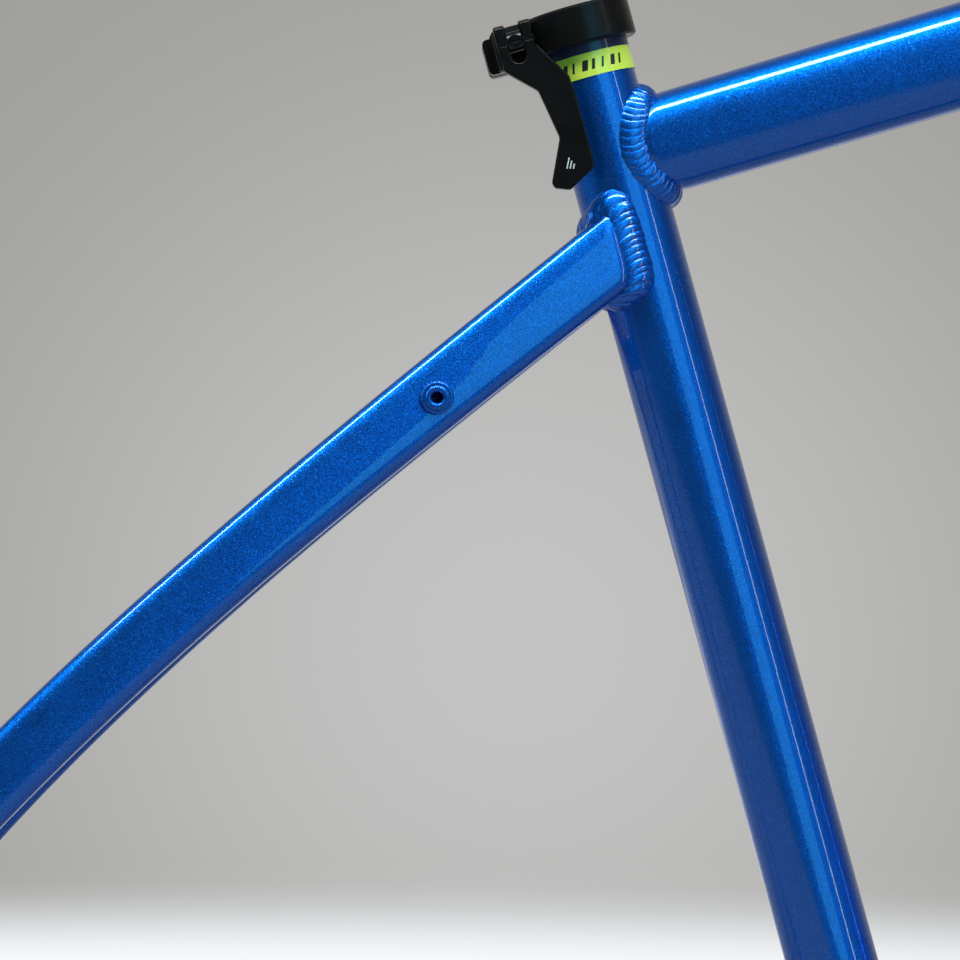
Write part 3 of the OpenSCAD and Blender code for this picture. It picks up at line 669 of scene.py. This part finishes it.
# ---- parts that keep their CAD shape, with rounded edges ----
for node, body, slot, material, bevel in (
    ("dropout_right", "frame", "frame_paint", PAINT, 0.0008),
    ("dropout_left", "frame", "frame_paint", PAINT, 0.0008),
    ("disc_brake_tab", "frame", "frame_paint", PAINT, 0.0008),
    ("derailleur_hanger", "frame", "hanger_black", HANGER, 0.0006),
    ("hanger_bolts", "frame", "zinc_steel", STEEL, 0.0003),
    ("chainstay_bridge", "frame", "frame_paint", PAINT, 0.0),
    ("seatstay_bridge", "frame", "frame_paint", PAINT, 0.0),
    ("rack_boss_right", "frame", "frame_paint", PAINT, 0.0003),
    ("rack_boss_left", "frame", "frame_paint", PAINT, 0.0003),
    ("bottle_bosses", "frame", "rivet_alloy", ALLOY, 0.0002),
    ("cable_guides", "frame", "frame_paint", PAINT, 0.0007),
    ("chainstay_cable_stops", "frame", "frame_paint", PAINT, 0.0006),
    ("stay_end_caps_right", "frame", "frame_paint", PAINT, 0.0),
    ("stay_end_caps_left", "frame", "frame_paint", PAINT, 0.0),
    ("clamp_collar", "frame", "clamp_black", BLACK, 0.0005),
    ("clamp_shoe", "frame", "clamp_black", BLACK, 0.0005),
    ("cam_plate", "frame", "cam_plate_polymer", POLYMER, 0.0004),
    ("qr_lever", "lever", "clamp_black", BLACK, 0.0008),
    ("pivot_barrel", "clamp_skewer", "black_steel", BLACK_STEEL, 0.0003),
    ("clamp_rod", "clamp_skewer", "black_steel", BLACK_STEEL, 0.0002),
    ("nut_washer", "nut_seat", "clamp_black", BLACK, 0.0002),
    ("adjusting_nut", "nut", "clamp_black", BLACK, 0.0003),
):
    refined(node, body, material, bevel, clamp=node != "qr_lever")

# ---- small print on the lever's blade ----
MARK_X, MARK_Y, MARK_Z = -0.1345, -0.03004, 0.4232
MARK_HIGH, MARK_WIDE, MARK_LEAN = 0.0042, 0.0005, 0.2
for k in range(3):
    x, z = MARK_X + 0.0011 * k, MARK_Z - 0.0006 * k
    tall = MARK_HIGH * (1 - 0.28 * k)
    corners = [(x - MARK_WIDE / 2 + dx + MARK_LEAN * dz, MARK_Y, z + dz) for dx, dz in
               ((0, -tall / 2), (MARK_WIDE, -tall / 2), (MARK_WIDE, tall / 2), (0, tall / 2))]
    piece(f"lever_mark_{k}", corners, [(0, 1, 2, 3)], "lever", INK_WHITE)

# ---- printed band: yellow-green below, dark above, with a row of slanted bars ----
BAND_LOW, BAND_SPLIT, BAND_HIGH = 0.4742, 0.4833, 0.487
BAND_R = SEAT_R + 0.0003
MARK_LOW, MARK_TOP, PRINT_LIFT = 0.4767, 0.4806, 0.00004
FULL_TURN = 2 * math.pi


def band_patch(name, low, high, start, end, material, n, lean=0, lift=0):
    """Part of a thin sleeve round the seat tube; lean shifts its upper edge sideways."""
    side = unit(np.cross(Y, SEAT_UP))
    front = -Y
    verts = []
    for h, shift in ((low, 0.0), (high, lean)):
        for a in np.linspace(start, end, n) + shift:
            verts.append(ORIGIN + h * SEAT_UP + (BAND_R + lift) * (math.sin(a) * side + math.cos(a) * front))
    faces = [(i, i + 1, n + i + 1, n + i) for i in range(n - 1)]
    obj = piece(name, verts, faces, "frame", material)
    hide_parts("seat_tube_band")


band_patch("band_colour", BAND_LOW, BAND_SPLIT, 0, FULL_TURN, BAND, n=193)
band_patch("band_dark", BAND_SPLIT, BAND_HIGH, 0, FULL_TURN, INK_NAVY, n=193)
for k, wide in enumerate((0.10, 0.05, 0.13, 0.07, 0.05, 0.11, 0.06)):
    start = -0.62 + 0.22 * k
    band_patch(f"band_mark_{k}", MARK_LOW, MARK_TOP, start, start + wide, INK_BLACK, n=8,
               lean=0.06, lift=PRINT_LIFT)

# ---- camera, as in the photograph: level, looking along +Y ----
camera = bpy.data.objects.new("camera", bpy.data.cameras.new("camera"))
bpy.context.scene.collection.objects.link(camera)
camera.location = (-0.1679, -1.695, 0.303)
camera.rotation_euler = (math.radians(90), 0, 0)
camera.data.lens, camera.data.sensor_width = 164.6, 36
camera.data.clip_start, camera.data.clip_end = 0.05, 50
bpy.context.scene.camera = camera


# ---- studio: a white strip above, thin strips at the sides and two large lights with a blue gel ----
AIM = (-0.15, 0, 0.36)
GEL = (0.10, 0.78, 1.0)


def light(name, at, size, watts, colour=(1, 1, 1)):
    """Rectangular lamp turned towards the frame."""
    data = bpy.data.lights.new(name, "AREA")
    data.shape, data.size, data.size_y = "RECTANGLE", size[0], size[1]
    data.energy, data.color = watts, colour
    obj = bpy.data.objects.new(name, data)
    bpy.context.scene.collection.objects.link(obj)
    obj.location = at
    obj.visible_camera = False
    obj.rotation_euler = (Vector(AIM) - Vector(at)).to_track_quat("-Z", "Y").to_euler()


light("strip_top", (-0.15, -0.84, 2.30), (3.6, 0.38), 78)
light("soft_right", (1.15, -2.25, 1.25), (1.3, 2.6), 17, GEL)
light("line_right", (1.58, -1.0, 0.45), (0.10, 1.9), 3)
light("soft_left", (-2.3, -1.0, 1.45), (1.3, 1.0), 9, GEL)
light("line_left", (-1.9, 0.05, 0.75), (0.10, 1.2), 3)

# ---- surroundings: a dim room, a dome behind the frame whose paper is painted light (emission), and a round pale floor ----
world = bpy.data.worlds.new("studio")
bpy.context.scene.world = world
world.use_nodes = True
world.node_tree.nodes["Background"].inputs["Color"].default_value = (0.03, 0.03, 0.032, 1)

FLOOR_Z = cad_low.z - 0.002
FLOOR_X = -0.17
FLOOR_R, DOME_R = 2.02, 12.0
# emission tones of painted light: paper outside the painted pool, inside it, and in painted shade towards the
# camera
PAINTED_LIGHT_EDGE, PAINTED_LIGHT_POOL, PAINTED_SHADE_FRONT = (0.352, 0.347, 0.330), (0.540, 0.540, 0.538), (0.055, 0.055, 0.057)


def paper(name, back_span, keep, glow_centre, glow_r, **constants):
    """Paper whose light is painted in as emission: a painted pool of light round a point behind the frame,
    and painted shade on the camera's side of the room.

    The distance from glow_centre counts only along the axes that keep leaves in.
    """
    s = Shader(name, **constants)
    y = s.add("ShaderNodeSeparateXYZ", {"Vector": s.where}).outputs["Y"]
    kept = s.add("ShaderNodeVectorMath", {0: s.where}, {1: keep}, operation="MULTIPLY")
    away = s.add("ShaderNodeVectorMath", {0: kept.outputs[0]}, {1: glow_centre}, operation="DISTANCE")
    glow = s.smooth(away.outputs["Value"], 0, glow_r, 1, 0)
    back = s.smooth(y, *back_span)
    s.out.inputs["Emission Strength"].default_value = 1.0
    return s, y, s.mix(back, PAINTED_SHADE_FRONT, s.mix(glow, PAINTED_LIGHT_EDGE, PAINTED_LIGHT_POOL))


def stage(bm, name, material):
    """Makes a mesh part of the studio, not of the frame."""
    mesh = bpy.data.meshes.new(name)
    bm.to_mesh(mesh)
    bm.free()
    mesh.materials.append(material)
    obj = bpy.data.objects.new(name, mesh)
    bpy.context.scene.collection.objects.link(obj)


s, _, tone = paper("studio_dome", (0.10 * DOME_R, 0.93 * DOME_R), (1, 0, 1), (-0.04, 0, -0.20), 2.65,
                   Roughness=0.95, Specular_IOR_Level=0.1)
# painted light: the dome's brightness is all emission over a near-black base colour
s.set("Emission Color", tone)
s.out.inputs["Base Color"].default_value = (0.02, 0.02, 0.02, 1)
s.set("Normal", s.bump(s.noise(0.2), 0.001))
bm = bmesh.new()
bmesh.ops.create_uvsphere(bm, u_segments=96, v_segments=48, radius=DOME_R)
for f in bm.faces:
    f.normal_flip()
    f.smooth = True
stage(bm, "studio_dome", s.material)

# the floor's light is painted in: emission and a paler base colour form a painted pool of light, with painted
# shade towards the camera's side, and its rim takes the painted light of the dome behind it
s, y, rim = paper("floor_paper", (0.2, 1.9), (1, 0, 0), (-0.133, 0.194, 0), 0.715,
                  Roughness=0.9, Specular_IOR_Level=0.0)
pool_centre = (-0.35, 0.12, FLOOR_Z)
away = s.add("ShaderNodeVectorMath", {0: s.where}, {1: pool_centre}, operation="DISTANCE").outputs["Value"]
pool = s.smooth(away, 1.10, 1.78, 1, 0)
# painted light: brighter away from the camera, painted shade on the camera's side
shine = s.smooth(y, 0.35, 1.4)
s.set("Emission Color", s.mix(pool, rim, s.mix(shine, (0.05, 0.05, 0.05), (0.55, 0.555, 0.57))))
# painted shade in the base colour too: darker towards the camera and near black outside the pool
pale = s.mix(shine, (0.25, 0.25, 0.252), (0.66, 0.66, 0.67))
s.set("Base Color", s.mix(pool, (0.02, 0.02, 0.02), pale))
s.set("Normal", s.bump(s.noise(0.004), 0.0001))
FLOOR_SIDES = 128
bm = bmesh.new()
centre = bm.verts.new((FLOOR_X, 0, FLOOR_Z))
turns = np.linspace(0, 2 * math.pi, FLOOR_SIDES, endpoint=False)
inner, outer = [[bm.verts.new((FLOOR_X + r * math.cos(a), r * math.sin(a), FLOOR_Z)) for a in turns]
                for r in (0.5 * FLOOR_R, FLOOR_R)]
for k in range(FLOOR_SIDES):
    after = (k + 1) % FLOOR_SIDES
    bm.faces.new((centre, inner[k], inner[after]))
    bm.faces.new((inner[k], outer[k], outer[after], inner[after]))
stage(bm, "studio_floor", s.material)
bpy.context.scene.view_settings.view_transform = "Standard"

bpy.context.view_layer.update()
